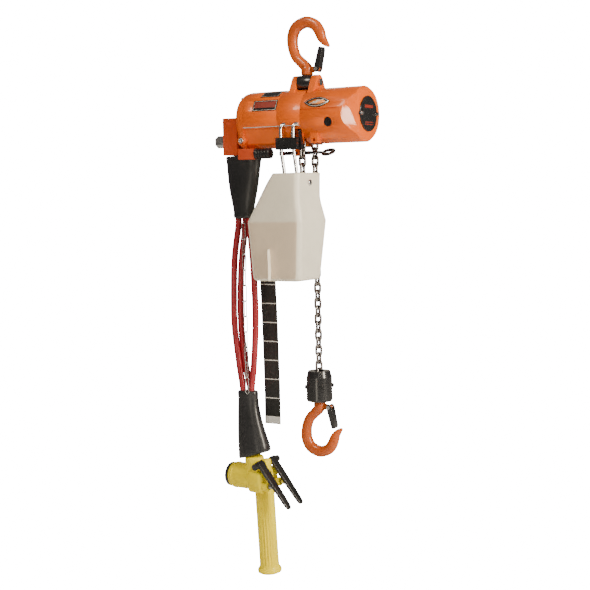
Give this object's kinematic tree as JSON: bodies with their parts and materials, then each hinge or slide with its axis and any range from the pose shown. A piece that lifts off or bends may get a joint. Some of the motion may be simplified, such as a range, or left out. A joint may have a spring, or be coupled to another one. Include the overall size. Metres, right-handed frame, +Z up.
{
  "type": "chain hoist",
  "caption": "Air-driven single-fall chain hoist with swivel hooks and safety latches, chain container, bottom block and a two-lever hose pendant.",
  "frame": {"origin": "centre of the top hook's bowl, which is where the hoist hangs", "axes": "+Z up along the hanging line, +X along the body from the motor end to the gear end, +Y to the back, away from the chain container"},
  "size_m": [0.4142, 0.189, 1.3544],
  "materials": {
    "orange_paint": "gloss",
    "hook_paint": "gloss",
    "red_orange_paint": "gloss",
    "black_paint": "semi-gloss",
    "zinc_steel": "zinc plated",
    "chain_steel": "oiled, blackened",
    "machined_steel": "machined",
    "chrome": "polished",
    "machined_aluminium": "machined",
    "vane_resin": "matte",
    "plate_black": "gloss",
    "cream_plastic": "satin",
    "yellow_plastic": "satin",
    "black_plastic": "satin",
    "boot_rubber": "matte",
    "hose_rubber": "gloss",
    "strip_plastic": "satin"
  },
  "bodies": {
    "top_hook": {"top_hook": "hook_paint", "top_hook_nut": "zinc_steel", "top_latch_spring": "zinc_steel"},
    "top_latch": {"top_latch": "black_paint"},
    "yoke": {"suspension_yoke": "black_paint"},
    "casing": {"suspension_pins": "zinc_steel", "centre_frame": "orange_paint", "motor_housing": "orange_paint", "end_cover": "orange_paint", "gear_case": "orange_paint", "end_plate": "plate_black", "label_plates": "plate_black", "case_screws": "zinc_steel", "motor_cylinder": "machined_steel", "motor_end_plates": "machined_aluminium", "motor_bearings": "machined_steel", "ring_gear": "machined_steel", "sheave_bearings": "machined_steel", "brake_springs": "zinc_steel", "chain_guide": "black_paint", "valve_block": "red_orange_paint", "inlet_fitting": "zinc_steel", "silencer": "red_orange_paint", "hanger_wires": "chrome", "clamp_plate": "black_paint"},
    "rotor": {"motor_rotor": "machined_steel", "rotor_vanes": "vane_resin", "brake_disc": "machined_steel"},
    "sheave": {"load_sheave": "chain_steel", "planet_carrier": "machined_steel", "wheel_chain": "chain_steel"},
    "planet_a": {"planet_a": "machined_steel"},
    "planet_b": {"planet_b": "machined_steel"},
    "planet_c": {"planet_c": "machined_steel"},
    "brake_piston": {"brake_piston": "machined_aluminium"},
    "limit_lever": {"limit_lever": "black_paint"},
    "container": {"container": "cream_plastic", "stored_chain": "chain_steel"},
    "load_chain": {"load_chain": "chain_steel", "block_shell_front": "black_paint", "block_shell_back": "black_paint", "block_bolts": "zinc_steel"},
    "load_hook": {"load_hook": "hook_paint", "load_hook_nut": "zinc_steel", "load_latch_spring": "zinc_steel"},
    "load_latch": {"load_latch": "black_paint"},
    "slack_chain": {"slack_chain": "chain_steel"},
    "pendant": {"hoses": "hose_rubber", "upper_boot": "boot_rubber", "lower_boot": "boot_rubber", "strain_chain": "zinc_steel", "tag_strip": "strip_plastic", "pendant_body": "yellow_plastic", "pendant_cap": "black_plastic", "lever_pin": "black_plastic"},
    "raise_lever": {"raise_lever": "black_plastic"},
    "lower_lever": {"lower_lever": "black_plastic"},
    "raise_plunger": {"raise_plunger": "zinc_steel"},
    "lower_plunger": {"lower_plunger": "zinc_steel"}
  },
  "joints": [
    {"name": "top_swivel", "type": "hinge", "parent": "top_hook", "child": "yoke", "pos_m": [0, 0, -0.1], "axis": [0, 0, 1], "continuous": true},
    {"name": "suspension_swing", "type": "hinge", "parent": "yoke", "child": "casing", "pos_m": [0, 0, -0.104], "axis": [1, 0, 0], "range_deg": [-12, 6]},
    {"name": "top_latch_open", "type": "hinge", "parent": "top_hook", "child": "top_latch", "pos_m": [0.029, 0, -0.073], "axis": [0, -1, 0], "range_deg": [0, 35], "stiffness_Nm_per_rad": 0.3},
    {"name": "load_lift", "type": "slide", "parent": "casing", "child": "load_chain", "axis": [0, 0, 1], "range_m": [-0.03, 0.03]},
    {"name": "sheave_turn", "type": "hinge", "parent": "casing", "child": "sheave", "pos_m": [0, 0, -0.184], "axis": [1, 0, 0], "range_deg": [-57, 57]},
    {"name": "rotor_turn", "type": "hinge", "parent": "casing", "child": "rotor", "pos_m": [-0.1, 0, -0.184], "axis": [1, 0, 0], "range_deg": [-284, 284]},
    {"name": "slack_feed", "type": "slide", "parent": "casing", "child": "slack_chain", "axis": [0, 0, 1], "range_m": [-0.03, 0.03]},
    {"name": "planet_a_turn", "type": "hinge", "parent": "sheave", "child": "planet_a", "pos_m": [0.05, 0, -0.154], "axis": [1, 0, 0], "range_deg": [-152, 152]},
    {"name": "planet_b_turn", "type": "hinge", "parent": "sheave", "child": "planet_b", "pos_m": [0.05, -0.02598, -0.199], "axis": [1, 0, 0], "range_deg": [-152, 152]},
    {"name": "planet_c_turn", "type": "hinge", "parent": "sheave", "child": "planet_c", "pos_m": [0.05, 0.02598, -0.199], "axis": [1, 0, 0], "range_deg": [-152, 152]},
    {"name": "brake_release", "type": "slide", "parent": "casing", "child": "brake_piston", "axis": [1, 0, 0], "range_m": [0, 0.0006], "stiffness_N_per_m": 20000},
    {"name": "limit_trip", "type": "hinge", "parent": "casing", "child": "limit_lever", "pos_m": [-0.042, 0.0304, -0.268], "axis": [0, 1, 0], "range_deg": [-4, 4]},
    {"name": "container_swing", "type": "hinge", "parent": "casing", "child": "container", "pos_m": [0, -0.065, -0.34], "axis": [1, 0, 0], "range_deg": [-6, 2.5]},
    {"name": "load_hook_swivel", "type": "hinge", "parent": "load_chain", "child": "load_hook", "pos_m": [0, 0.0304, -0.852], "axis": [0, 0, 1], "continuous": true},
    {"name": "load_latch_open", "type": "hinge", "parent": "load_hook", "child": "load_latch", "pos_m": [0.029, 0.0304, -0.8855], "axis": [0, 1, 0], "range_deg": [0, 35], "stiffness_Nm_per_rad": 0.3},
    {"name": "pendant_swing", "type": "hinge", "parent": "casing", "child": "pendant", "pos_m": [-0.174, -0.02, -0.271], "axis": [0, 1, 0], "range_deg": [-2, 5]},
    {"name": "raise_squeeze", "type": "hinge", "parent": "pendant", "child": "raise_lever", "pos_m": [-0.12462, -0.05224, -1.02684], "axis": [0.0869, 0.9938, 0.0698], "range_deg": [0, 5], "stiffness_Nm_per_rad": 2},
    {"name": "raise_valve", "type": "slide", "parent": "pendant", "child": "raise_plunger", "axis": [0.9962, -0.0872, 0], "range_m": [-0.0075, 0]},
    {"name": "lower_squeeze", "type": "hinge", "parent": "pendant", "child": "lower_lever", "pos_m": [-0.12027, -0.00255, -1.02335], "axis": [0.0869, 0.9938, 0.0698], "range_deg": [0, 5], "stiffness_Nm_per_rad": 2},
    {"name": "lower_valve", "type": "slide", "parent": "pendant", "child": "lower_plunger", "axis": [0.9962, -0.0872, 0], "range_m": [-0.0075, 0]}
  ],
  "couplings": [
    {"joint": "sheave_turn", "follows": "load_lift", "rad_per_m": 32.896},
    {"joint": "rotor_turn", "follows": "load_lift", "rad_per_m": 164.48},
    {"joint": "slack_feed", "follows": "load_lift", "ratio": -1},
    {"joint": "planet_a_turn", "follows": "load_lift", "rad_per_m": -87.723},
    {"joint": "planet_b_turn", "follows": "load_lift", "rad_per_m": -87.723},
    {"joint": "planet_c_turn", "follows": "load_lift", "rad_per_m": -87.723},
    {"joint": "raise_valve", "follows": "raise_squeeze", "m_per_rad": -0.0845},
    {"joint": "lower_valve", "follows": "lower_squeeze", "m_per_rad": -0.0845}
  ]
}
